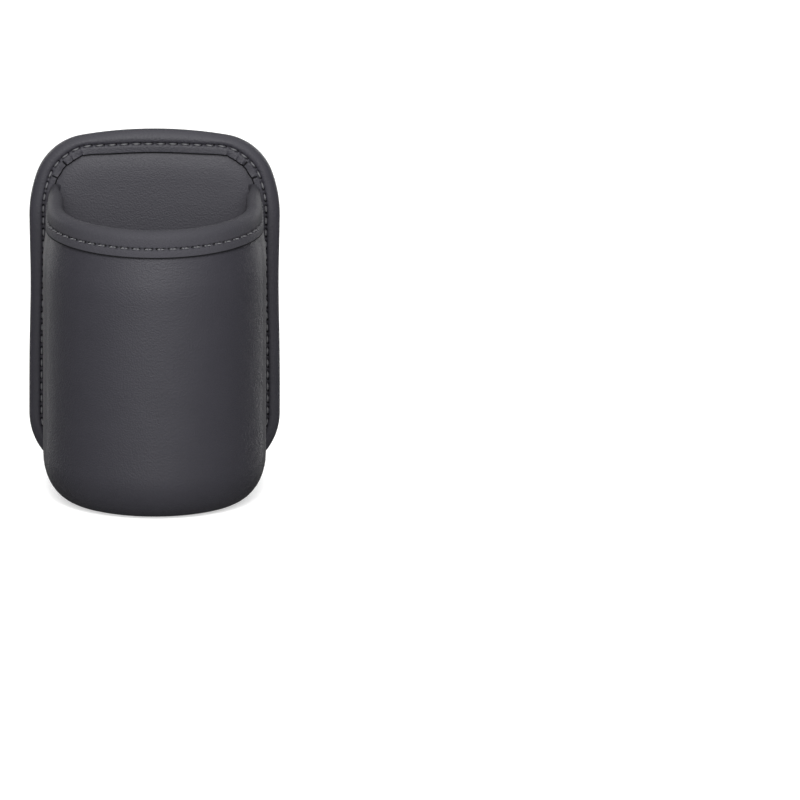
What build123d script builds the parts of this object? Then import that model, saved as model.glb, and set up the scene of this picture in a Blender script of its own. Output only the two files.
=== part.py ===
"""Door cup holder: a moulded leather pouch sewn to a bound, board-stiffened back panel.

Millimetres, +Z up. The pouch faces -Y, the adhesive pads face +Y, and the base stands on Z = 0.
"""
import os
from math import asin, atan, cos, degrees, radians, sin, sqrt

from build123d import *

# Back panel outline: a crowned top, shoulder arcs easing into straight flanks, and round feet
panel_width = 94.8
panel_height = 134.4
crown_radius = 160.0
shoulder_radius = 22.0
shoulder_end_angle = 70.0
flank_radius = 50.0
foot_radius = 24.5

# Back panel layers, from the rear to the front
cover_thickness = 1.0
board_thickness = 2.4
facing_thickness = 1.9

# Binding folded round the panel's edge, with tucks where it turns each shoulder
binding_thickness = 0.8
binding_flange = 8.1
tuck_count = 4
tuck_width = 0.5
tuck_depth = 0.4
tuck_first_angle = 22.0
tuck_spread_angle = 46.0

# Pouch, measured on the outer face of its leather, with its mouth a drop below the panel's crown
cup_width = 84.0
cup_depth = 74.4
mouth_drop = 20.4
base_fillet = 11.0
root_draw = 2.0
root_run = 10.0
root_blend = 14.0

# The mouth draws in towards its lip
lean_height = 20.0
lean_steps = 2
lip_draw = 1.8
lip_root_draw = 0.4

# Pouch layers, from the outside in, and the seam allowance that lies on the panel
skin_thickness = 1.2
former_thickness = 1.5
lining_thickness = 0.8
apron_thickness = 0.9

# Binding rolled over the lip
lip_leather = 0.8
lip_flange = 10.9
lip_filling = 1.6

# Stitching
stitch_pitch = 4.6
stitch_length = 2.5
stitch_width = 0.8
stitch_height = 0.5
stitch_clearance = 0.2
lip_seam_margin = 2.5
seam_inset = 4.7
lip_seam_drop = 6.4
groove_width = 1.4
groove_depth = 0.3

# Self-adhesive pads on the rear
pad_width = 58.0
pad_height = 26.0
pad_corner = 4.0
pad_thickness = 1.6
pad_gap = 30.0

# What is left between two rounded edges, and the room between the pouch and the panel's binding
edge_flat = 0.05
binding_clearance = 0.2

# Depths and heights worked out from the sizes above, with the whole depth centred on Y = 0
stack_thickness = cover_thickness + board_thickness + facing_thickness
wall_thickness = skin_thickness + former_thickness + lining_thickness
total_depth = cup_depth + stack_thickness + pad_thickness
rear_y = total_depth / 2 - pad_thickness
face_y = rear_y - stack_thickness
board_rear_y = rear_y - cover_thickness
facing_rear_y = board_rear_y - board_thickness
front_face_y = face_y - binding_thickness
root_inset = binding_flange + binding_thickness + binding_clearance
cup_height = panel_height - mouth_drop
lean_start = cup_height - lean_height
wall_top = cup_height - lip_filling
lip_seam_height = cup_height - lip_seam_drop

# The lip's crown is rounded over its whole thickness, measured square to its flare at the root
lip_flare_angle = 2 * atan((root_draw + lip_root_draw - lip_draw) / root_run)
lip_round = (wall_thickness / 2 + lip_leather) * cos(lip_flare_angle) - edge_flat

# The shoulder arc starts where the crown meets it for the given width, and its centre follows
shoulder_start_angle = degrees(asin(
    (panel_width / 2 - flank_radius + (flank_radius - shoulder_radius) * sin(radians(shoulder_end_angle)))
    / (crown_radius - shoulder_radius)
))
shoulder_centre = (
    (crown_radius - shoulder_radius) * sin(radians(shoulder_start_angle)),
    panel_height - crown_radius + (crown_radius - shoulder_radius) * cos(radians(shoulder_start_angle)),
)


def upright(y):
    """The upright plane at a depth, facing the front, so that extrusions grow towards the front."""
    return Plane.XZ.offset(-y)


def panel_outline(inset=0.0):
    """The back panel's outline, drawn in by an inset."""
    with BuildSketch() as outline:
        with BuildLine():
            crown = JernArc((0, panel_height), (1, 0), crown_radius, -shoulder_start_angle)
            shoulder = JernArc(crown @ 1, crown % 1, shoulder_radius, shoulder_start_angle - shoulder_end_angle)
            flank = JernArc(shoulder @ 1, shoulder % 1, flank_radius, shoulder_end_angle - 90)
            side = Line(flank @ 1, (panel_width / 2, foot_radius))
            foot = JernArc(side @ 1, (0, -1), foot_radius, -90)
            Line(foot @ 1, (0, 0))
            mirror(about=Plane.YZ)
        make_face()
        if inset != 0:
            offset(amount=-inset)
    return outline.sketch


def panel_plate(rear, thickness, inset):
    """A plate of the panel's outline whose rim is rounded over its whole thickness."""
    with BuildPart() as plate:
        with BuildSketch(upright(rear)):
            add(panel_outline(inset))
        extrude(amount=thickness)
        faces = plate.faces().sort_by(Axis.Y)
        fillet(faces[0].edges() + faces[-1].edges(), thickness / 2 - edge_flat)
    return plate.part


def draw_pouch_half(level, inset):
    """Draws half of the pouch's plan at a height: flared root, straight side and round nose."""
    lean = max(0.0, (level - lean_start) / lean_height) ** 2
    half_width = cup_width / 2 - lean * lip_draw - inset
    half_root = cup_width / 2 - root_draw - lean * lip_root_draw - inset
    depth = cup_depth - lean * lip_draw - inset
    flare = TangentArc((half_width, face_y - root_run), (half_root, face_y), tangent=(0, 1))
    side = Line(flare @ 0, (half_width, face_y - depth + half_width))
    JernArc(side @ 1, (0, -1), half_width, -90)
    return flare


def pouch_line(level, inset):
    """The pouch's plan curve at a height, from one root on the panel's face round to the other."""
    with BuildLine() as line:
        draw_pouch_half(level, inset)
        mirror(about=Plane.YZ)
    return line.wire().moved(Pos(0, 0, level))


def pouch_plan(level, inset):
    """The pouch's plan at a height, run on behind the panel's face so that it can be trimmed there."""
    with BuildSketch() as plan:
        with BuildLine():
            flare = draw_pouch_half(level, inset)
            tail = flare @ 1 + flare % 1 * binding_flange
            Polyline(flare @ 1, tail, (0, tail.Y))
            mirror(about=Plane.YZ)
        make_face()
    return plan.sketch


def root_cutter(inset, reach):
    """What a form of the pouch loses beside the panel, where its root spreads at 45 degrees from the seam."""
    start = root_inset + max(inset, 0.0) * sqrt(2) + reach
    with BuildPart() as cutter:
        with BuildSketch(upright(face_y + reach)):
            add(panel_outline(start - 2 * root_blend))
        extrude(amount=root_blend)
        for spread in (0.0, root_blend):
            with BuildSketch(upright(face_y + reach - spread)):
                add(panel_outline(start - spread))
        loft(ruled=True, mode=Mode.SUBTRACT)
    return cutter.part


def pouch_form(inset, reach=0.0):
    """The pouch's solid form drawn in by an inset, ending a reach behind the panel's face."""
    floor = max(inset, 0.0)
    with BuildPart() as form:
        with BuildSketch(Plane.XY.offset(floor)):
            add(pouch_plan(floor, inset))
        extrude(amount=lean_start - floor)
        base_edges = form.faces().sort_by(Axis.Z)[0].edges().sort_by(Axis.Y)
        fillet(base_edges[:-1], base_fillet - floor)
        for step in range(lean_steps + 1):
            level = lean_start + step * lean_height / lean_steps
            with BuildSketch(Plane.XY.offset(level)):
                add(pouch_plan(level, inset))
        loft()
        split(bisect_by=upright(face_y + reach), keep=Keep.TOP)
    return form.part


def pouch_block(inset, reach=0.0):
    """The pouch's form with its root drawn in to the seam."""
    with BuildPart() as block:
        add(pouch_form(inset, reach))
        add(root_cutter(inset, reach), mode=Mode.SUBTRACT)
    return block.part


def stitch_planes(path, outward, margin=0.0):
    """A plane for each stitch, evenly spaced along a path between its margins and facing outward."""
    count = round((path.length - 2 * margin) / stitch_pitch)
    first = margin / path.length
    stations = [first + (1 - 2 * first) * (index + 0.5) / count for index in range(count)]
    return [Plane(path @ t, x_dir=path % t, z_dir=outward(path % t)) for t in stations]


def add_stitches(planes):
    """Adds a bar of thread on each plane to the current part."""
    with Locations(*planes):
        Box(stitch_length, stitch_width, stitch_height, align=(Align.CENTER, Align.CENTER, Align.MIN))


os.makedirs("parts", exist_ok=True)

# Forms that several pieces share
panel_stack = panel_plate(rear_y, stack_thickness, binding_thickness)
skin_outside = pouch_block(0.0)
skin_inside = pouch_block(skin_thickness, apron_thickness)
former_inside = pouch_block(skin_thickness + former_thickness)
cup_inside = pouch_block(wall_thickness)

# Rear cover: the rear slice of the pressed panel stack
with BuildPart() as rear_cover:
    add(panel_stack)
    split(bisect_by=upright(board_rear_y), keep=Keep.BOTTOM)
rear_cover.part.label = "rear_cover"
export_step(rear_cover.part, "parts/rear_cover.step")

# Back board: the stiff slice in the middle
with BuildPart() as back_board:
    add(panel_stack)
    split(bisect_by=upright(board_rear_y), keep=Keep.TOP)
    split(bisect_by=upright(facing_rear_y), keep=Keep.BOTTOM)
back_board.part.label = "back_board"
export_step(back_board.part, "parts/back_board.step")

# Cup shell: the moulded leather pouch with its seam allowance pressed into the facing
with BuildPart() as cup_shell:
    add(panel_stack)
    split(bisect_by=upright(face_y + apron_thickness), keep=Keep.TOP)
    split(bisect_by=Plane.XY.offset(wall_top), keep=Keep.BOTTOM)
    add(skin_outside)
    add(skin_inside, mode=Mode.SUBTRACT)
    split(bisect_by=Plane.XY.offset(wall_top), keep=Keep.BOTTOM)
cup_shell.part.label = "cup_shell"
export_step(cup_shell.part, "parts/cup_shell.step")

# Back facing: the padded front slice, pressed thin under the pouch's seam allowance
with BuildPart() as back_facing:
    add(panel_stack)
    split(bisect_by=upright(facing_rear_y), keep=Keep.TOP)
    add(cup_shell.part, mode=Mode.SUBTRACT)
back_facing.part.label = "back_facing"
export_step(back_facing.part, "parts/back_facing.step")

# Cup former: the stiff sheet between the leather and the lining
with BuildPart() as cup_former:
    add(skin_inside)
    split(bisect_by=upright(face_y), keep=Keep.TOP)
    add(former_inside, mode=Mode.SUBTRACT)
    split(bisect_by=Plane.XY.offset(wall_top), keep=Keep.BOTTOM)
cup_former.part.label = "cup_former"
export_step(cup_former.part, "parts/cup_former.step")

# Cup lining
with BuildPart() as cup_lining:
    add(former_inside)
    add(cup_inside, mode=Mode.SUBTRACT)
    split(bisect_by=Plane.XY.offset(wall_top), keep=Keep.BOTTOM)
cup_lining.part.label = "cup_lining"
export_step(cup_lining.part, "parts/cup_lining.step")

# Lip binding: a strip rolled over the pouch's edge, with a full-round crown
with BuildPart() as lip_binding:
    add(pouch_form(-lip_leather))
    split(bisect_by=Plane.XY.offset(cup_height - lip_flange), keep=Keep.TOP)
    add(pouch_form(wall_thickness + lip_leather), mode=Mode.SUBTRACT)
    crown_edges = lip_binding.faces().sort_by(Axis.Z)[-1].edges()
    crown_edges = crown_edges.filter_by_position(Axis.Y, -total_depth, face_y, inclusive=(True, False))
    fillet(crown_edges, lip_round)
    add(root_cutter(0.0, 0.0), mode=Mode.SUBTRACT)
    for layer in (cup_shell, cup_former, cup_lining):
        add(layer.part, mode=Mode.SUBTRACT)
lip_binding.part.label = "lip_binding"
export_step(lip_binding.part, "parts/lip_binding.step")

# Back binding: folded round the panel's edge, open to the facing and the cover, grooved along its seam
with BuildPart() as back_binding:
    add(panel_plate(rear_y + binding_thickness, stack_thickness + 2 * binding_thickness, 0.0))
    add(panel_stack, mode=Mode.SUBTRACT)
    with BuildSketch(upright(rear_y + binding_thickness)):
        add(panel_outline(binding_flange))
    extrude(amount=stack_thickness + 2 * binding_thickness, mode=Mode.SUBTRACT)
    for face_plane in (upright(rear_y + binding_thickness), upright(front_face_y + groove_depth)):
        with BuildSketch(face_plane):
            add(panel_outline(seam_inset - groove_width / 2))
            offset(amount=-groove_width, mode=Mode.SUBTRACT)
        extrude(amount=groove_depth, mode=Mode.SUBTRACT)
    tuck_length = binding_flange - seam_inset
    with BuildSketch(upright(front_face_y + tuck_depth)):
        with Locations(shoulder_centre):
            with PolarLocations(
                shoulder_radius - (seam_inset + binding_flange) / 2,
                tuck_count,
                tuck_first_angle,
                tuck_spread_angle,
                endpoint=True,
            ):
                Rectangle(tuck_length, tuck_width)
        mirror(about=Plane.YZ)
    extrude(amount=tuck_depth, mode=Mode.SUBTRACT)
back_binding.part.label = "back_binding"
export_step(back_binding.part, "parts/back_binding.step")

# Back stitching: a row in the front groove and a row in the rear one
with BuildSketch(upright(front_face_y + groove_depth)) as front_seam:
    add(panel_outline(seam_inset))
with BuildSketch(upright(rear_y + binding_thickness - groove_depth)) as rear_seam:
    add(panel_outline(seam_inset))
with BuildPart() as back_stitching:
    add_stitches(stitch_planes(front_seam.sketch.wire(), lambda along: (0, -1, 0)))
    add_stitches(stitch_planes(rear_seam.sketch.wire(), lambda along: (0, 1, 0)))
back_stitching.part.label = "back_stitching"
export_step(back_stitching.part, "parts/back_stitching.step")

# Lip stitching: a row outside the lip and a row inside it
outer_lip_seam = pouch_line(lip_seam_height, -lip_leather - stitch_clearance)
inner_lip_seam = pouch_line(lip_seam_height, wall_thickness + lip_leather + stitch_clearance)
with BuildPart() as lip_stitching:
    add_stitches(stitch_planes(outer_lip_seam, lambda along: along.cross(Vector(0, 0, 1)), lip_seam_margin))
    add_stitches(stitch_planes(inner_lip_seam, lambda along: Vector(0, 0, 1).cross(along), lip_seam_margin))
lip_stitching.part.label = "lip_stitching"
export_step(lip_stitching.part, "parts/lip_stitching.step")

# Adhesive pads: two rounded strips on the rear cover
with BuildPart() as adhesive_pads:
    with BuildSketch(upright(rear_y + pad_thickness)):
        with Locations((0, panel_height / 2)):
            with GridLocations(0, pad_height + pad_gap, 1, 2):
                RectangleRounded(pad_width, pad_height, pad_corner)
    extrude(amount=pad_thickness)
adhesive_pads.part.label = "adhesive_pads"
export_step(adhesive_pads.part, "parts/adhesive_pads.step")
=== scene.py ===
"""Looks for the door cup holder: stitched leather pouch, bound back panel, materials, light and camera.

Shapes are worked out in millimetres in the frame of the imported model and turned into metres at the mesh.
Insets are measured inwards, from the panel's outline or from the pouch's outside.
"""
import math

import bmesh
import bpy
import numpy as np
from mathutils import Matrix, Vector, kdtree


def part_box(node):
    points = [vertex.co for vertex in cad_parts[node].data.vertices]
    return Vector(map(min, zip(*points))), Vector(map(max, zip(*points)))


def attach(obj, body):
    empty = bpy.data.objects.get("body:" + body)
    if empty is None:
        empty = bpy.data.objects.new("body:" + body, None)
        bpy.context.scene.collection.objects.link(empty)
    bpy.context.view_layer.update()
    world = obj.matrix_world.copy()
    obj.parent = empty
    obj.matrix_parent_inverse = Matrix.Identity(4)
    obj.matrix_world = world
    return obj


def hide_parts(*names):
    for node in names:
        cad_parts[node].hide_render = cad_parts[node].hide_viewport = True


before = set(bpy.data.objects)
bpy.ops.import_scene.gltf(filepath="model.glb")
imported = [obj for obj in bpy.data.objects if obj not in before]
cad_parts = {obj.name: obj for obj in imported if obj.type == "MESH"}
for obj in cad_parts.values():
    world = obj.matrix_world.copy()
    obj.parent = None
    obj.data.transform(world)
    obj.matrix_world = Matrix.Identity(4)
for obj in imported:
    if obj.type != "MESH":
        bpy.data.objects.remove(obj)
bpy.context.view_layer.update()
MM = 0.001


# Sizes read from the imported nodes
def in_millimetres(box):
    """A box's lowest and highest corners in millimetres."""
    return [np.array(corner) / MM for corner in box]


binding_low, binding_high = in_millimetres(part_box("back_binding"))
facing_low, facing_high = in_millimetres(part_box("back_facing"))
cover_low, cover_high = in_millimetres(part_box("rear_cover"))
former_low, former_high = in_millimetres(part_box("cup_former"))
shell_low = in_millimetres(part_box("cup_shell"))[0]
lip_high = in_millimetres(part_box("lip_binding"))[1]
pads_low, pads_high = in_millimetres(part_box("adhesive_pads"))
panel_width = binding_high[0] - binding_low[0]
panel_height = binding_high[2]
panel_middle = (binding_low[1] + binding_high[1]) / 2
panel_half = (binding_high[1] - binding_low[1]) / 2
face_y = facing_low[1]
face_rise = panel_middle - face_y
rear_y = cover_high[1]
skin = former_low[2]
cup_width = former_high[0] - former_low[0] + 2 * skin
cup_depth = face_y - shell_low[1]
cup_height = lip_high[2]
wall_top = former_high[2]

# Back panel's outline
crown_radius = 160.0
shoulder_radius = 22.0
shoulder_end = math.radians(70)
flank_radius = 50.0
foot_radius = 24.5
outline_step = 0.1
waist_depth = 0.5
waist_height = 75.0
waist_reach = 20.0

# Binding round the panel
binding = 0.8
flange = 8.1
seam_inset = 4.7
edge_round = 3.4
edge_power = 2.3
bead_inset = 2.7
bead_proud = 0.22
bead_reach = 1.3
seam_dip = 0.38
seam_reach = 0.6
seam_band = 1.0
cut_round = 0.5
lap_inset = 5.0
fold_inset = 1.6
fold_share = 0.8
core_share = 0.3
rim_steps = 13
shelf_steps = 3
band_steps = 13
flange_steps = 6
cut_steps = 4

# Where the panel's seam leaves the line of its outline
crown_drop = 0.4
crown_drop_reach = 13.0
crown_raise = 0.8
crown_raise_place = 27.0
crown_raise_reach = 7.0
flank_draw = 0.6
flank_middle = 98.0
flank_reach = 17.0
flank_start = 38.0
flank_blend = 6.0

# Tucks at the panel's shoulders
tuck_angles = np.radians((13.0, 28.0, 40.0, 65.0))
# How much painted shade each tuck's crease takes
crease_shade_weights = (0.0, 0.0, 1.0, 1.0)
tuck_gap = math.radians(15)
tuck_start = 0.3
tuck_lift = 0.4
tuck_notch = 0.3
tuck_pull = 0.25
notch_place = 0.12
notch_width = 0.1
# Where creases take painted shade: the least weight, and how far out along the flange it starts
crease_shade_least = 0.5
crease_shade_start = 0.1

# Pouch
base_round = 12.4
base_rise = 17.5
root_draw = 2.0
root_run = 10.0
root_inset = 9.1
root_soft = 0.5
root_share = 0.35
root_reach = 4.0
root_least = 0.01
lean_height = 24.0
lean_power = 1.2
lip_draw = 3.4
lip_root_draw = 1.6
rim_dip = 2.2
rim_reach = 60.0
wall = 3.5
lining = 0.8
layer_gap = 0.05
apron = 0.9
apron_insets = (2.2, 7.6)
wall_taper_run = 20.0
wall_taper_share = 0.6
root_steps = 8
side_steps = 8
nose_steps = 34
wall_steps = 26
base_steps = 12
floor_steps = 8

# Lip binding
lip_leather = 0.9
lip_flange = 9.9
lip_seam_drop = 6.4
lip_seam_ends = 9.5
lip_dip = 0.35
lip_swell = 0.25
lip_swell_drop = 0.6
lip_swell_reach = 1.8
lip_bevel = 0.3
lip_hollow = 2.2
lip_flange_steps = 5
lip_band_steps = 12
lip_crown_steps = 19

# Stitches
pitch = 4.6
stitch_length = 2.5
stitch_radius = 0.3
stitch_rise = 0.25
stitch_sink = 0.9
stitch_bow = 4
stitch_thin = 0.55
stitch_rings = 12
stitch_sides = 10
ply_turns = 1.6
ply_mean = 0.92
ply_depth = 0.1
hole_radius = 0.5
hole_depth = 0.7
# Needle-hole faces past this share of full depth take painted shade
hole_shade_share = 0.45
steps_per_pitch = 12
tangent_reach = 0.5

# Panel layers
layer_columns = 240
ring_last = 14.0
core_ends = 45.0
facing_rings = np.array([1.2, 4.0, 7.4, 8.2, 8.8, 9.6, 10.8, 12.4, 14.0, 18.0, 22.0, 26.0, 32.0, 40.0])
facing_tuck = 0.45
facing_tuck_place = 0.3
facing_tuck_reach = 0.7
facing_puff = 0.9
facing_puff_start = 8.0
facing_puff_run = 7.0
cover_rings = np.array([1.6, 4.0, 7.4, 8.2, 8.8, 9.8, 11.4, 14.0, 20.0, 28.0, 40.0])
cover_sink = 0.25
cover_sink_start = 7.8
cover_sink_run = 4.0

# Adhesive pads
pad_height = 26.0
pad_corner = 4.0
pad_soften = 0.35
pad_shoulder = 0.3
pad_columns = 64
pad_nudge = 0.01

# Meshes
weld = 0.001
sharp_angle = math.radians(50)


# Helpers for meshes
def grid_faces(rows, columns, close_rows=False, close_columns=False):
    """Quads over a grid of points stored row by row."""
    index = np.arange(rows * columns).reshape(rows, columns)
    if close_rows:
        index = np.vstack([index, index[:1]])
    if close_columns:
        index = np.hstack([index, index[:, :1]])
    corners = (index[:-1, :-1], index[1:, :-1], index[1:, 1:], index[:-1, 1:])
    return np.stack(corners, axis=-1).reshape(-1, 4).tolist()


def end_caps(rows, columns, first_reversed):
    """The two faces that close the ends of a tube of points stored row by row."""
    first = list(range(columns))
    last = list(range((rows - 1) * columns, rows * columns))
    if first_reversed:
        return [first[::-1], last]
    return [first, last[::-1]]


def add_piece(name, points, faces, material, slot, edge_and_shade_marks=None):
    """A smooth-shaded piece from points in millimetres, which stands for the CAD node of its name.

    The marked faces take the dark cut-edge colour, which also paints shade into the gaps beside cut edges,
    needle holes and creases.
    """
    mesh = bpy.data.meshes.new(name)
    mesh.from_pydata((np.asarray(points).reshape(-1, 3) * MM).tolist(), [], faces)
    edit = bmesh.new()
    edit.from_mesh(mesh)
    bmesh.ops.remove_doubles(edit, verts=edit.verts, dist=weld * MM)
    bmesh.ops.recalc_face_normals(edit, faces=edit.faces)
    edit.to_mesh(mesh)
    edit.free()
    mesh.polygons.foreach_set("use_smooth", np.ones(len(mesh.polygons), bool))
    mesh.set_sharp_from_angle(angle=sharp_angle)
    mesh.materials.append(material)
    if edge_and_shade_marks is not None:
        # Second slot: the dark edge colour that also carries the painted shade
        mesh.materials.append(edge_colour_and_shade)
        marks = np.zeros(len(mesh.polygons), np.int32)
        marks[:edge_and_shade_marks.size] = edge_and_shade_marks.ravel()
        mesh.polygons.foreach_set("material_index", marks)
    piece = bpy.data.objects.new(name + "_look", mesh)
    bpy.context.scene.collection.objects.link(piece)
    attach(piece, "root")
    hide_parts(name)
    return piece


def closed_sheet(front, back):
    """Points and quads of a sheet between two grids of the same shape.

    It is closed along its first row and both side columns.
    The two halves of its last row meet on the middle line.
    """
    rows, columns = front.shape[:2]
    count = rows * columns
    front_faces = grid_faces(rows, columns)
    back_faces = [[corner + count for corner in reversed(face)] for face in front_faces]
    faces = front_faces + back_faces
    index = np.arange(count).reshape(rows, columns)
    border = np.concatenate([index[:0:-1, 0], index[0, :-1], index[:, -1]]).tolist()
    for a, b in zip(border[:-1], border[1:]):
        faces.append([a, b, b + count, a + count])
    return np.concatenate([front.reshape(-1, 3), back.reshape(-1, 3)]), faces


def gather(parts):
    """Joins lists of points and faces into one."""
    points, faces, offset = [], [], 0
    for some_points, some_faces in parts:
        points.append(some_points)
        faces += [[corner + offset for corner in face] for face in some_faces]
        offset += len(some_points)
    return np.concatenate(points), faces


def smooth_step(value):
    """Eases from 0 to 1."""
    value = np.clip(value, 0.0, 1.0)
    return value * value * (3 - 2 * value)


def bump(value, middle, reach):
    """A smooth bump of height 1 round a middle."""
    return np.exp(-((value - middle) / reach) ** 2)


# Back panel outline: points and inward normals, evenly spaced
def trace_half():
    """Half of the outline from the middle of its crown to the middle of its base, as points and headings."""
    reach = panel_width / 2 - flank_radius + (flank_radius - shoulder_radius) * math.sin(shoulder_end)
    shoulder_start = math.asin(reach / (crown_radius - shoulder_radius))
    bends = [
        (crown_radius, shoulder_start),
        (shoulder_radius, shoulder_end - shoulder_start),
        (flank_radius, math.pi / 2 - shoulder_end),
    ]
    point, heading = np.array([0.0, panel_height]), 0.0
    points, headings = [], []

    def bend(radius, angle):
        nonlocal point, heading
        turns = np.arange(0.0, angle, outline_step / radius)
        centre = point + radius * np.array([-math.sin(heading), -math.cos(heading)])
        for turn in [*turns, angle]:
            points.append(centre + radius * np.array([math.sin(heading + turn), math.cos(heading + turn)]))
            headings.append(heading + turn)
        point, heading = points[-1], headings[-1]

    def run(length):
        nonlocal point
        along = np.array([math.cos(heading), -math.sin(heading)])
        for distance in np.arange(outline_step, length, outline_step):
            points.append(point + distance * along)
            headings.append(heading)
        point = point + length * along

    for radius, angle in bends:
        bend(radius, angle)
    run(point[1] - foot_radius)
    bend(foot_radius, math.pi / 2)
    run(point[0])
    return np.array(points), np.array(headings)


half_points, half_headings = trace_half()
outline = np.concatenate([half_points, half_points[:0:-1] * (-1, 1)])
turning = np.concatenate([half_headings, 2 * math.pi - half_headings[:0:-1]])
inward = np.stack([-np.sin(turning), -np.cos(turning)], axis=1)
outline[:, 0] *= 1 - waist_depth / (panel_width / 2) * bump(outline[:, 1], waist_height, waist_reach)
seam_line = outline + seam_inset * inward
seam_steps = np.linalg.norm(np.roll(seam_line, -1, axis=0) - seam_line, axis=1)
seam_run = np.concatenate([[0.0], np.cumsum(seam_steps)])
seam_length = seam_run[-1]
back_count = round(seam_length / pitch)


def along_outline(run):
    """Outline points and inward normals at distances along the seam."""
    looped = (np.append(values, values[:1], axis=0) for values in (outline, inward))
    points, normals = (
        np.stack([np.interp(run, seam_run, values[:, k]) for k in range(2)], axis=1) for values in looped
    )
    return points, normals / np.linalg.norm(normals, axis=1)[:, None]


def crown_shift(points):
    """How far the top seam and cut edge shift inwards: they run flatter than the panel's crown."""
    side = np.abs(points[:, 0])
    drop = crown_drop * bump(side, 0.0, crown_drop_reach)
    lift = crown_raise * bump(side, crown_raise_place, crown_raise_reach)
    return np.where(points[:, 1] > panel_height / 2, drop - lift, 0.0)


def flank_shift(points):
    """How far the side seams shift inwards beside the pouch's mouth."""
    beside = smooth_step((np.abs(points[:, 0]) - flank_start) / flank_blend)
    return flank_draw * beside * bump(points[:, 1], flank_middle, flank_reach)


nearest_outline = kdtree.KDTree(len(outline))
for number, (across_panel, up_panel) in enumerate(outline):
    nearest_outline.insert((across_panel, up_panel, 0.0), number)
nearest_outline.balance()


def outline_inset(point):
    """How far a point lies inside the panel's outline, and the inward normal there."""
    nearest = nearest_outline.find((point[0], point[2], 0.0))[1]
    from_edge = np.array([point[0], point[2]]) - outline[nearest]
    return from_edge @ inward[nearest], inward[nearest]


def seam_holes(run, count, length):
    """How strongly each distance along a seam lies at a needle hole, one at either end of each stitch."""
    spacing = length / count
    phase = np.mod(run, spacing) - spacing / 2
    return bump(np.abs(phase), stitch_length / 2, hole_radius)


# Back binding: a profile swept round the panel, with needle holes and shoulder tucks
def shoulder_tucks(run):
    """How far the binding laps up, how far its cut edge pulls in and how much painted shade falls in a
    crease, along the seam.
    """
    turned = np.interp(run, seam_run, np.append(turning, 2 * math.pi))
    side = np.where(turned > math.pi, 2 * math.pi - turned, turned)
    lift, pull, crease_shade = np.zeros_like(side), np.zeros_like(side), np.zeros_like(side)
    for angle, shade_weight in zip(tuck_angles, crease_shade_weights):
        near = (angle - side) / tuck_gap
        lapped = (near > 0) & (near < 1)
        notch = np.where(near <= 0, bump(near, -notch_place, notch_width), 0.0)
        lift += np.where(lapped, (1 - near) ** 2, 0.0) - notch * tuck_notch / tuck_lift
        crease_shade += notch * shade_weight
        pull += np.where(lapped, 4 * near * (1 - near), 0.0)
    return lift, pull, crease_shade


def build_back_binding(material):
    """The leather strip folded round the panel's edge."""
    rows = back_count * steps_per_pitch
    run = np.arange(rows) * seam_length / rows
    base, normal = along_outline(run)
    # Profile from the rim over the bead and the seam to the cut edge
    rim = edge_round * (1 - np.cos(np.linspace(0, math.pi / 2, rim_steps)[:-1]))
    face = np.concatenate([
        np.linspace(edge_round, seam_inset - seam_band, shelf_steps)[:-1],
        np.linspace(seam_inset - seam_band, seam_inset + seam_band, band_steps)[:-1],
        np.linspace(seam_inset + seam_band, flange - cut_round, flange_steps),
    ])
    corner = np.linspace(0, math.pi / 2, cut_steps)[1:]
    inset = np.concatenate([rim, face, flange - cut_round * (1 - np.sin(corner)), [flange]])
    lower = np.zeros(len(inset))
    lower[len(rim) + len(face):-1] = cut_round * (1 - np.cos(corner))
    rounding = np.clip((edge_round - inset) / edge_round, 0, 1)
    height = panel_half * (1 - rounding ** edge_power) ** (1 / edge_power) - lower
    height += bead_proud * bump(inset, bead_inset, bead_reach)
    height -= seam_dip * bump(inset, seam_inset, seam_reach)
    height[-1] = face_rise
    holes = seam_holes(run, back_count, seam_length)[:, None] * bump(inset, seam_inset, hole_radius)
    rear = height - hole_depth * holes
    # Tucks: the flange laps itself at each shoulder, and its cut edge runs straight between the laps
    lift, pull, crease_shade = shoulder_tucks(run)
    share = smooth_step((inset - seam_inset - tuck_start) / (flange - seam_inset - tuck_start))
    front = rear.copy()
    front[:, :-1] += tuck_lift * lift[:, None] * share[:-1]
    from_rim = smooth_step(inset / (seam_inset - seam_reach))
    to_cut = 1 - smooth_step((inset - seam_inset - seam_reach) / (flange - seam_inset - seam_reach))
    shifted = inset + crown_shift(base)[:, None] * from_rim + flank_shift(base)[:, None] * from_rim * to_cut
    tucked = shifted + tuck_pull * pull[:, None] * share
    # The fold's inner side, which lies on the board's layers
    inner = np.tile((lap_inset, fold_inset, binding), (rows, 1))
    inner_height = face_rise * np.tile((1.0, fold_share, core_share), (rows, 1))
    depth = np.concatenate([tucked[:, ::-1], shifted[:, 1:], inner, inner[:, ::-1]], axis=1)
    rise = np.concatenate([front[:, ::-1], -rear[:, 1:], -inner_height, inner_height[:, ::-1]], axis=1)
    points = np.empty(depth.shape + (3,))
    points[..., 0] = base[:, :1] + normal[:, :1] * depth
    points[..., 1] = panel_middle - rise
    points[..., 2] = base[:, 1:] + normal[:, 1:] * depth
    # Dark colour of both cut edges with painted shade of the gaps beside them, and painted shade in the
    # needle holes and in the open creases
    cut = len(corner) + 1
    width = len(inset)
    rear_end = 2 * width - 2
    edge_and_shade_marks = np.zeros(depth.shape, bool)
    edge_and_shade_marks[:, :cut] = True
    edge_and_shade_marks[:, rear_end - cut:rear_end] = True
    # Painted shade in the needle holes
    hole_shade = holes > hole_shade_share
    crease_shaded = (crease_shade[:, None] > crease_shade_least) & (share > crease_shade_start)
    edge_and_shade_marks[:, :width] |= hole_shade[:, ::-1] | crease_shaded[:, ::-1]
    edge_and_shade_marks[:, width - 1:2 * width - 1] |= hole_shade
    faces = grid_faces(*depth.shape, close_rows=True, close_columns=True)
    return add_piece("back_binding", points, faces, material, "binding_leather", edge_and_shade_marks)


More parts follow.
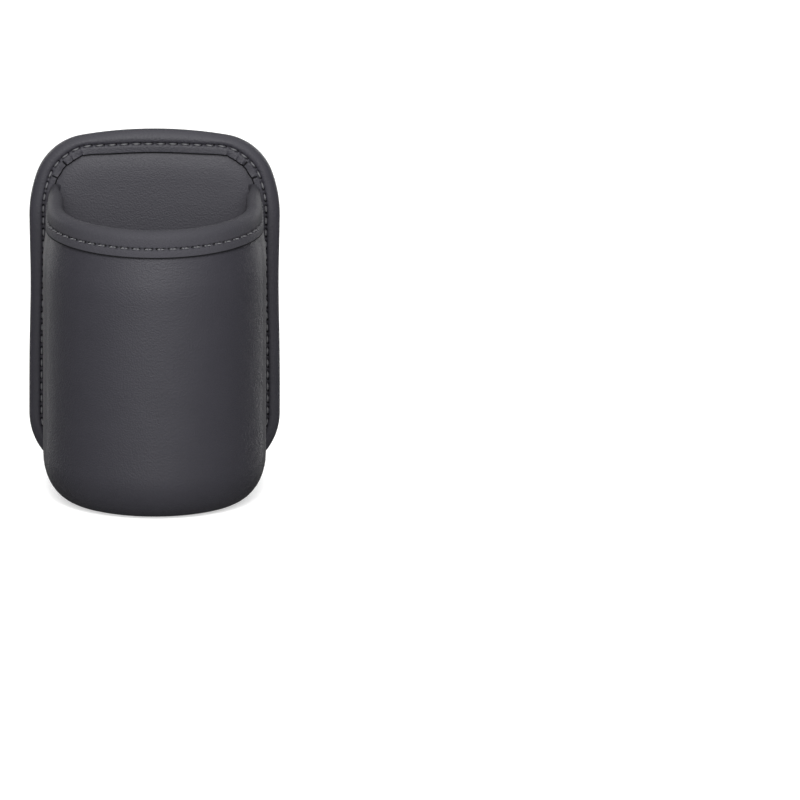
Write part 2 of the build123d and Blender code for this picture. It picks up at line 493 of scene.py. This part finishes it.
# Thread
def thread_stitch(start, along, out, side):
    """One stitch: a two-ply twisted thread that arches out of its hole and back into the next."""
    share = np.linspace(-0.5, 0.5, stitch_rings)
    bow = 1 - (2 * np.abs(share)) ** stitch_bow
    rise = stitch_rise * bow - hole_depth * stitch_sink * (1 - bow)
    angle = np.linspace(0, 2 * math.pi, stitch_sides, endpoint=False)
    twist = share * 2 * math.pi * ply_turns
    radius = stitch_radius * (ply_mean + ply_depth * np.cos(2 * (angle[None, :] - twist[:, None])))
    radius *= (stitch_thin + (1 - stitch_thin) * bow)[:, None]
    centre = start + np.outer(share * stitch_length, along) + np.outer(rise, out)
    ring = np.cos(angle)[None, :, None] * side + np.sin(angle)[None, :, None] * out
    points = centre[:, None, :] + radius[..., None] * ring
    faces = grid_faces(stitch_rings, stitch_sides, close_columns=True)
    faces += end_caps(stitch_rings, stitch_sides, first_reversed=True)
    return points.reshape(-1, 3), faces


def build_back_stitching(material):
    """The stitches round the panel, front and rear."""
    run = (np.arange(back_count) + 0.5) * seam_length / back_count
    base, normal = along_outline(run)
    seam = base + (seam_inset + crown_shift(base) + flank_shift(base))[:, None] * normal
    parts = []
    for out in (-1.0, 1.0):
        y = panel_middle + out * (panel_half - seam_dip)
        for (x, z), (nx, nz) in zip(seam, normal):
            start = np.array([x, y, z])
            side = np.array([nx, 0.0, nz])
            along = np.array([nz, 0.0, -nx])
            parts.append(thread_stitch(start, along, np.array([0.0, out, 0.0]), side))
    return add_piece("back_stitching", *gather(parts), material, "thread")


# Pouch: plan curves at each height, drawn in by an inset
def plan_half(inset, level):
    """Half of a plan, from the root on the panel's face to the nose, as x and distance from the face."""
    lean = max(0.0, (level - cup_height + lean_height) / lean_height) ** lean_power
    half_width = cup_width / 2 - lean * lip_draw - inset
    depth = cup_depth - lean * lip_draw - inset
    draw = root_draw + lean * (lip_root_draw - lip_draw)
    radius = (draw ** 2 + root_run ** 2) / (2 * draw)
    flare = np.linspace(math.asin(root_run / radius), 0, root_steps)
    side = np.linspace(root_run, depth - half_width, side_steps)[1:]
    nose = np.linspace(0, math.pi / 2, nose_steps)[1:]
    x = np.concatenate([
        half_width - radius * (1 - np.cos(flare)),
        np.full(len(side), half_width),
        half_width * np.cos(nose),
    ])
    d = np.concatenate([
        root_run - radius * np.sin(flare),
        side,
        depth - half_width + half_width * np.sin(nose),
    ])
    x += inset * (1 - wall_taper_share) * (1 - smooth_step(d / wall_taper_run))
    return np.stack([x, d], axis=1)


def plan(inset, level):
    """A whole plan, from the right root round to the left one."""
    half = plan_half(inset, level)
    return np.concatenate([half, half[-2::-1] * (-1, 1)])


def settle(points):
    """Lets the pouch's rim dip towards its nose, fading out down the wall."""
    share = smooth_step((points[..., 2] - cup_height + rim_reach) / rim_reach)
    points[..., 2] -= rim_dip * share * ((face_y - points[..., 1]) / cup_depth) ** 2
    return points


def press_to_seam(points, inset):
    """Draws the pouch's root in to the seam, where it spreads from the panel at 45 degrees."""
    starts = np.broadcast_to(root_inset + np.maximum(inset, 0.0) * root_share, points.shape[:-1])
    for point, start in zip(points.reshape(-1, 3), starts.ravel()):
        distance = face_y - point[1]
        if distance > start + root_reach:
            continue
        inside, normal = outline_inset(point)
        short = start - inside - distance
        eased = (short + math.sqrt(short ** 2 + root_soft ** 2)) / 2
        push = eased - root_soft / 2 * math.exp(-short ** 2)
        if push > root_least:
            point[0] += normal[0] * push
            point[2] += normal[1] * push
    return points


def pouch_grid(inset):
    """The pouch's surface at an inset: down its wall, round its base and along its floor to the middle."""
    rows = [(z, 0.0) for z in np.linspace(wall_top, base_rise, wall_steps)]
    wide, tall = base_round - inset, base_rise - inset
    for angle in np.linspace(0, math.pi / 2, base_steps)[1:]:
        rows.append((inset + tall * (1 - math.sin(angle)), wide * (1 - math.cos(angle))))
    grid = []
    for z, draw in rows:
        curve = plan(inset + draw, z)
        grid.append(np.stack([curve[:, 0], face_y - curve[:, 1], np.full(len(curve), z)], axis=1))
    edge = grid[-1]
    for share in np.linspace(0, 1, floor_steps)[1:]:
        grid.append(edge * (1 - share, 1, 1))
    return press_to_seam(settle(np.array(grid)), inset)


def apron_column(column, reach, depth):
    """A column of the pouch's root moved out to an inset of the panel, at a depth below its face."""
    moved = column.copy()
    for point in moved:
        inside, normal = outline_inset(point)
        point[0] += normal[0] * (reach - inside)
        point[2] += normal[1] * (reach - inside)
        point[1] = face_y + depth
    return moved


def add_apron(grid, depth):
    """Adds the seam allowance that lies on the panel from the root out under the binding, on both sides."""
    right = [apron_column(grid[:, 0], reach, depth) for reach in apron_insets]
    left = [apron_column(grid[:, -1], reach, depth) for reach in reversed(apron_insets)]
    return np.stack([*right, *grid.transpose(1, 0, 2), *left], axis=1)


def build_cup_shell(material):
    """The pouch's leather with its apron."""
    outer = add_apron(pouch_grid(0.0), 0.0)
    inner = add_apron(pouch_grid(skin), apron)
    return add_piece("cup_shell", *closed_sheet(outer, inner), material, "shell_leather")


def build_pouch_layer(name, outside, inside, material, slot):
    """A layer of the pouch between two insets."""
    return add_piece(name, *closed_sheet(pouch_grid(outside), pouch_grid(inside)), material, slot)


# Lip binding: a roll swept round the mouth that thins out where it dives under the panel's binding
def lip_seam():
    """Distances along the lip's seam at the points of a plan, and the number of its stitches."""
    curve = plan(-lip_leather, cup_height - lip_seam_drop)
    steps = np.linalg.norm(np.diff(curve, axis=0), axis=1)
    stations = np.concatenate([[0.0], np.cumsum(steps)])
    return stations, round((stations[-1] - lip_seam_ends) / pitch)


lip_stations, lip_count = lip_seam()
lip_length = lip_stations[-1]
lip_margin = (lip_length - lip_count * pitch) / 2


def lip_points(run, inset, level):
    """Points at distances along the lip's seam, a column for each level, each point at its own inset."""
    columns = []
    for k, height in enumerate(level):
        outside, inside = (
            np.stack([np.interp(run, lip_stations, curve[:, axis]) for axis in range(2)], axis=1)
            for curve in (plan(0.0, height), plan(1.0, height))
        )
        curve = outside + (inside - outside) * inset[:, k:k + 1]
        columns.append(np.stack([curve[:, 0], face_y - curve[:, 1], np.full(len(run), height)], axis=1))
    return settle(np.stack(columns, axis=1))


def build_lip_binding(material):
    """The leather strip rolled over the pouch's rim."""
    rows = lip_count * steps_per_pitch + 1
    run = np.linspace(0, lip_length, rows)
    middle = wall / 2
    half = wall / 2 + lip_leather
    # Outside of the profile from the cut edge up over the seam, then the crown, then the same down inside
    drop = np.concatenate([
        np.linspace(lip_flange - cut_round, lip_seam_drop + seam_band, lip_flange_steps)[:-1],
        np.linspace(lip_seam_drop + seam_band, lip_seam_drop - seam_band, lip_band_steps)[:-1],
        np.linspace(lip_seam_drop - seam_band, half, lip_flange_steps)[:-1],
    ])
    swell = lip_swell * bump(drop, half + lip_swell_drop, lip_swell_reach)
    dip = lip_dip * bump(drop, lip_seam_drop, seam_reach)
    outer = middle - half - swell + dip
    cut = np.array([middle - wall / 2, middle - half + cut_round * lip_bevel])
    turn = np.linspace(0, math.pi, lip_crown_steps)
    crown = middle - (half + lip_swell) * np.cos(turn)
    hollow = np.array([wall - layer_gap, layer_gap])
    profile = np.concatenate([cut, outer, crown, wall - outer[::-1], wall - cut[::-1], hollow])
    cut_level = np.full(len(cut), cup_height - lip_flange)
    outer_level = cup_height - drop
    crown_level = cup_height - half + half * np.sin(turn)
    hollow_level = np.full(len(hollow), cup_height - lip_hollow)
    level = np.concatenate([cut_level, outer_level, crown_level, outer_level[::-1], cut_level, hollow_level])
    # Needle holes from both sides
    along = seam_holes(run - lip_margin, lip_count, lip_count * pitch)
    along[(run < lip_margin) | (run > lip_length - lip_margin)] = 0
    holes = along[:, None] * bump(drop, lip_seam_drop, hole_radius)
    outside = slice(len(cut), len(cut) + len(drop))
    inside = slice(outside.stop + len(crown), outside.stop + len(crown) + len(drop))
    inset = np.tile(profile, (rows, 1))
    inset[:, outside] += hole_depth * holes
    inset[:, inside] -= hole_depth * holes[:, ::-1]
    points = press_to_seam(lip_points(run, inset, level), profile)
    columns = len(profile)
    faces = grid_faces(rows, columns, close_columns=True)
    faces += end_caps(rows, columns, first_reversed=False)
    # Dark colour of both cut edges with painted shade of the gaps beside them, and painted shade in the
    # needle holes
    edge_and_shade_marks = np.zeros((rows - 1, columns), bool)
    edge_and_shade_marks[:, :len(cut)] = True
    edge_and_shade_marks[:, inside.stop - 1:inside.stop + 1] = True
    hole_shade = (holes > hole_shade_share)[:-1]
    edge_and_shade_marks[:, outside] |= hole_shade
    edge_and_shade_marks[:, inside] |= hole_shade[:, ::-1]
    return add_piece("lip_binding", points, faces, material, "binding_leather", edge_and_shade_marks)


def build_lip_stitching(material):
    """The stitches round the lip, outside and inside."""
    run = lip_margin + (np.arange(lip_count) + 0.5) * pitch
    level = [cup_height - lip_seam_drop]
    side = np.array([0.0, 0.0, 1.0])
    parts = []
    for out, inset in ((1.0, -lip_leather + lip_dip), (-1.0, wall + lip_leather - lip_dip)):
        depth = np.full((lip_count, 1), inset)
        before, places, after = (
            lip_points(run + shift, depth, level)[:, 0] for shift in (-tangent_reach, 0.0, tangent_reach)
        )
        for place, chord in zip(places, after - before):
            along = chord / np.linalg.norm(chord)
            parts.append(thread_stitch(place, along, np.cross(side, along) * -out, side))
    return add_piece("lip_stitching", *gather(parts), material, "thread")


# Panel layers: rings that follow the outline, then close on an upright middle line
def panel_sheet(rings, height):
    """A grid of points at ring insets with a height for each, closing on the panel's middle line."""
    run = np.arange(layer_columns) * seam_length / layer_columns
    base, normal = along_outline(run)
    shift = crown_shift(base)
    core_height = np.clip(base[:, 1], core_ends, panel_height - core_ends)
    core = np.stack([np.zeros(layer_columns), core_height], axis=1)
    last = base + (ring_last + shift)[:, None] * normal
    rows = []
    for inset, y in zip(rings, height):
        if inset <= ring_last:
            flat = base + (inset + smooth_step(inset / seam_inset) * shift)[:, None] * normal
        else:
            flat = last + (core - last) * (inset - ring_last) / (rings[-1] - ring_last)
        rows.append(np.stack([flat[:, 0], np.full(layer_columns, y), flat[:, 1]], axis=1))
    return np.array(rows)


def add_plate(name, front, rear, material, slot):
    """A plate between two ring grids, closed round its rim."""
    rings, columns = front.shape[:2]
    stacked = np.concatenate([front[::-1], rear])
    return add_piece(name, stacked, grid_faces(2 * rings, columns, close_columns=True), material, slot)


def build_back_facing(material):
    """The foam-backed front of the panel, puffed inside its binding."""
    rings = facing_rings
    tucked = facing_tuck * bump(rings, flange + facing_tuck_place, facing_tuck_reach)
    puff = facing_puff * smooth_step((rings - facing_puff_start) / facing_puff_run)
    front = panel_sheet(rings, face_y - puff + tucked)
    rear = panel_sheet(rings, np.full(len(rings), facing_high[1]))
    return add_plate("back_facing", front, rear, material, "facing_leather")


def build_rear_cover(material):
    """The cover on the panel's rear, a little sunk inside its binding."""
    rings = cover_rings
    sink = cover_sink * smooth_step((rings - cover_sink_start) / cover_sink_run)
    front = panel_sheet(rings, np.full(len(rings), cover_low[1]))
    rear = panel_sheet(rings, rear_y + sink)
    return add_plate("rear_cover", front, rear, material, "rear_leather")


def build_adhesive_pads(material):
    """Two foam strips with rounded corners and softened edges."""
    angle = np.linspace(0, 2 * math.pi, pad_columns, endpoint=False)
    ring = np.stack([np.cos(angle), np.sin(angle)], axis=1)
    quarter = np.sign(np.stack([np.cos(angle + pad_nudge), np.sin(angle + pad_nudge)], axis=1))
    half = np.array([(pads_high[0] - pads_low[0]) / 2 - pad_corner, pad_height / 2 - pad_corner])
    top = pads_high[1]
    levels = (
        (rear_y, 0.0),
        (top - pad_soften, 0.0),
        (top - pad_soften * pad_shoulder, pad_soften * pad_shoulder),
        (top, pad_soften),
        (top, pad_corner),
    )
    parts = []
    for low in (pads_low[2], pads_high[2] - pad_height):
        centre = np.array([0.0, low + pad_height / 2])
        rows = []
        for y, inset in levels:
            flat = centre + quarter * half + (pad_corner - inset) * ring
            rows.append(np.stack([flat[:, 0], np.full(pad_columns, y), flat[:, 1]], axis=1))
        faces = grid_faces(len(levels), pad_columns, close_columns=True)
        faces += end_caps(len(levels), pad_columns, first_reversed=False)
        parts.append((np.concatenate(rows), faces))
    return add_piece("adhesive_pads", *gather(parts), material, "adhesive_foam")


# Materials: lengths in metres, noise scales per metre
grain_size = 0.00062
grain_depth = 0.00015
grain_strength = 0.75
grain_bend = 0.0004
grain_bend_scale = 900.0
grain_smoothness = 0.6
pore_scale = 4200.0
pore_share = 0.5
patch_scale = 90.0
patch_range = (0.3, 0.7)
gloss_range = (-0.04, 0.08)
leather_gloss = 0.34
lip_gloss = 0.17
fibre_scale = 6000.0
fibre_depth = 0.00005
fibre_strength = 0.4
mottle_strength = 0.5


def new_material(name, colour, roughness, specular):
    """A material with its shader, and a coordinate socket in metres."""
    material = bpy.data.materials.new(name)
    material.use_nodes = True
    shader = material.node_tree.nodes["Principled BSDF"]
    shader.inputs["Base Color"].default_value = (*colour, 1)
    shader.inputs["Roughness"].default_value = roughness
    shader.inputs["Specular IOR Level"].default_value = specular
    where = material.node_tree.nodes.new("ShaderNodeTexCoord")
    return material, shader, where.outputs["Object"]


def add_node(material, kind, links, **values):
    """A shader node with its settings, its socket values and its links."""
    node = material.node_tree.nodes.new(kind)
    for key, value in values.items():
        if key in node.inputs:
            node.inputs[key].default_value = value
        else:
            setattr(node, key, value)
    for socket, source in links.items():
        material.node_tree.links.new(source, node.inputs[socket])
    return node


def add_noise(material, where, scale, detail):
    """A noise texture in metres."""
    return add_node(material, "ShaderNodeTexNoise", {"Vector": where}, Scale=scale, Detail=detail)


def add_tone(material, shader, source, dark, light, span=(0.0, 1.0)):
    """Base colour between two tones, by a value."""
    tone = add_node(material, "ShaderNodeValToRGB", {"Fac": source})
    for element, position, colour in zip(tone.color_ramp.elements, span, (dark, light)):
        element.position = position
        element.color = (*colour, 1)
    material.node_tree.links.new(tone.outputs["Color"], shader.inputs["Base Color"])


def add_bump(material, shader, source, strength, depth):
    """Fine relief from a height value."""
    relief = add_node(material, "ShaderNodeBump", {"Height": source}, Strength=strength, Distance=depth)
    material.node_tree.links.new(relief.outputs["Normal"], shader.inputs["Normal"])


def leather(name, dark, light, roughness, specular):
    """Soft-grained leather: pebbled cells, pores, a faint change of tone and of gloss."""
    material, shader, where = new_material(name, dark, roughness, specular)
    bend = add_noise(material, where, grain_bend_scale, detail=2.0)
    shift = add_node(
        material, "ShaderNodeVectorMath", {0: bend.outputs["Color"]}, operation="SCALE", Scale=grain_bend
    )
    terms = {0: where, 1: shift.outputs["Vector"]}
    moved = add_node(material, "ShaderNodeVectorMath", terms, operation="ADD")
    cells = add_node(
        material, "ShaderNodeTexVoronoi", {"Vector": moved.outputs["Vector"]},
        feature="SMOOTH_F1", Scale=1 / grain_size, Smoothness=grain_smoothness,
    )
    pores = add_noise(material, where, pore_scale, detail=3.0)
    sources = {0: pores.outputs["Fac"], 2: cells.outputs["Distance"]}
    height = add_node(material, "ShaderNodeMath", sources, operation="MULTIPLY_ADD")
    height.inputs[1].default_value = pore_share
    add_bump(material, shader, height.outputs["Value"], grain_strength, grain_depth)
    patch = add_noise(material, where, patch_scale, detail=3.0)
    add_tone(material, shader, patch.outputs["Fac"], dark, light, patch_range)
    gloss = add_node(material, "ShaderNodeMapRange", {"Value": cells.outputs["Distance"]})
    gloss.inputs["To Min"].default_value = roughness + gloss_range[0]
    gloss.inputs["To Max"].default_value = roughness + gloss_range[1]
    material.node_tree.links.new(gloss.outputs["Result"], shader.inputs["Roughness"])
    return material


def waxed_thread(name, dark, light, roughness, specular):
    """Thread with a fine fibre."""
    material, shader, where = new_material(name, dark, roughness, specular)
    fibre = add_noise(material, where, fibre_scale, detail=2.0)
    add_tone(material, shader, fibre.outputs["Fac"], dark, light)
    add_bump(material, shader, fibre.outputs["Fac"], fibre_strength, fibre_depth)
    return material


def mottled(name, dark, light, roughness, specular, scale, depth):
    """A plain finish with a fine mottle, for foam, board, lining, and the dark cut edges that also serve as
    painted shade.
    """
    material, shader, where = new_material(name, dark, roughness, specular)
    noise = add_noise(material, where, scale, detail=4.0)
    add_tone(material, shader, noise.outputs["Fac"], dark, light)
    add_bump(material, shader, noise.outputs["Fac"], mottle_strength, depth)
    return material


shell_leather = leather(
    "shell_leather", dark=(0.0136, 0.0129, 0.0176), light=(0.0146, 0.0139, 0.0188),
    roughness=0.6, specular=leather_gloss,
)
binding_leather = leather(
    "binding_leather", dark=(0.0156, 0.0149, 0.02), light=(0.0166, 0.0159, 0.0212),
    roughness=0.6, specular=leather_gloss,
)
lip_strip = leather(
    "lip_leather", dark=(0.0216, 0.021, 0.0254), light=(0.0228, 0.0222, 0.0267),
    roughness=0.72, specular=lip_gloss,
)
facing_leather = leather(
    "facing_leather", dark=(0.0212, 0.0203, 0.0258), light=(0.0225, 0.0216, 0.0272),
    roughness=0.6, specular=leather_gloss,
)
rear_leather = leather(
    "rear_leather", dark=(0.02, 0.0196, 0.0226), light=(0.025, 0.0244, 0.0276),
    roughness=0.65, specular=leather_gloss,
)
# Dark colour of the raw cut edges, also used as painted shade in needle holes, open creases and the gaps
# under the cut edges
edge_colour_and_shade = mottled(
    "edge_colour_and_shade", dark=(0.003, 0.003, 0.0035), light=(0.006, 0.006, 0.0068),
    roughness=0.9, specular=0.05, scale=3000.0, depth=0.00004,
)
lining_cloth = mottled(
    "lining_cloth", dark=(0.06, 0.059, 0.065), light=(0.095, 0.093, 0.102),
    roughness=0.8, specular=0.2, scale=2500.0, depth=0.00006,
)
board = mottled(
    "stiffener", dark=(0.05, 0.048, 0.045), light=(0.075, 0.072, 0.068),
    roughness=0.7, specular=0.3, scale=900.0, depth=0.00005,
)
foam = mottled(
    "adhesive_foam", dark=(0.045, 0.045, 0.047), light=(0.075, 0.075, 0.078),
    roughness=0.75, specular=0.3, scale=3500.0, depth=0.00008,
)
thread = waxed_thread(
    "waxed_thread", dark=(0.042, 0.042, 0.0445), light=(0.115, 0.115, 0.121),
    roughness=0.6, specular=0.25,
)

# Pieces
build_back_binding(binding_leather)
build_back_stitching(thread)
facing = build_back_facing(facing_leather)
build_rear_cover(rear_leather)
build_cup_shell(shell_leather)
build_pouch_layer("cup_former", skin + layer_gap, wall - lining - layer_gap, board, "stiffener")
build_pouch_layer("cup_lining", wall - lining, wall, lining_cloth, "lining")
build_lip_binding(lip_strip)
build_lip_stitching(thread)
pads = build_adhesive_pads(foam)
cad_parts["back_board"].data.materials.clear()
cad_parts["back_board"].data.materials.append(board)

# Floor: it glows a little, so that the contact shadow stays faint
floor_size = 24
floor_tone = (0.6, 0.6, 0.6)
floor_glow = 0.5
bpy.ops.mesh.primitive_plane_add(size=floor_size)
floor = bpy.context.object
floor.name = "floor"
floor_material, floor_shader = new_material("pale_floor", floor_tone, roughness=0.9, specular=0.0)[:2]
floor_shader.inputs["Emission Color"].default_value = (1, 1, 1, 1)
floor_shader.inputs["Emission Strength"].default_value = floor_glow
floor.data.materials.append(floor_material)
floor.visible_glossy = False

# Light
world_strength = 0.12
world = bpy.data.worlds.new("studio")
bpy.context.scene.world = world
world.use_nodes = True
world.node_tree.nodes["Background"].inputs["Color"].default_value = (1, 1, 1, 1)
world.node_tree.nodes["Background"].inputs["Strength"].default_value = world_strength


def add_light(name, azimuth, height, spread, power):
    """A far soft light that shines from an azimuth and a height above the horizon, all in degrees."""
    data = bpy.data.lights.new(name, "SUN")
    data.angle = math.radians(spread)
    data.energy = power
    light = bpy.data.objects.new(name, data)
    light.rotation_euler = (math.radians(90 - height), 0, math.radians(azimuth))
    bpy.context.scene.collection.objects.link(light)


def add_soft_box(name, place, aim, size, power):
    """A square soft box at a place in metres, turned to the point it is aimed at."""
    data = bpy.data.lights.new(name, "AREA")
    data.size = size
    data.energy = power
    light = bpy.data.objects.new(name, data)
    light.location = place
    light.rotation_euler = (Vector(aim) - Vector(place)).to_track_quat("-Z", "Y").to_euler()
    bpy.context.scene.collection.objects.link(light)


add_soft_box("box", place=(0.0, -0.36, 0.34), aim=(0.0, 0.0, 0.07), size=0.2, power=2.45)
add_light("key", azimuth=0, height=13, spread=24, power=1.5)
add_light("top", azimuth=0, height=80, spread=110, power=3.5)
add_light("left", azimuth=-150, height=5, spread=30, power=1.4)
add_light("right", azimuth=150, height=5, spread=30, power=1.4)

# Camera: far off at the photo's height, turned so that the part sits left in the frame
frame_pixels = 800
pixels_per_mm = 2.643
part_column, part_row = 154.6, 476.1
elevation = math.radians(14)
lens, sensor = 1200.0, 36.0
view_end = 100.0
target = Vector((0.0, face_y, 0.0)) * MM
distance = lens / sensor * frame_pixels / pixels_per_mm * MM
back = Vector((0.0, -math.cos(elevation), math.sin(elevation)))
straight = Matrix.Rotation(math.pi / 2 - elevation, 4, "X")
turn = math.atan((part_column - frame_pixels / 2) / frame_pixels * sensor / lens)
tilt = math.atan((part_row - frame_pixels / 2) / frame_pixels * sensor / lens)
aimed = straight @ Matrix.Rotation(turn, 4, "Y") @ Matrix.Rotation(tilt, 4, "X")
camera_data = bpy.data.cameras.new("camera")
camera_data.lens, camera_data.sensor_width = lens, sensor
camera_data.clip_end = view_end
camera = bpy.data.objects.new("camera", camera_data)
camera.matrix_world = Matrix.Translation(target + back * distance) @ aimed
bpy.context.scene.collection.objects.link(camera)
bpy.context.scene.camera = camera
bpy.context.scene.view_settings.view_transform = "Standard"
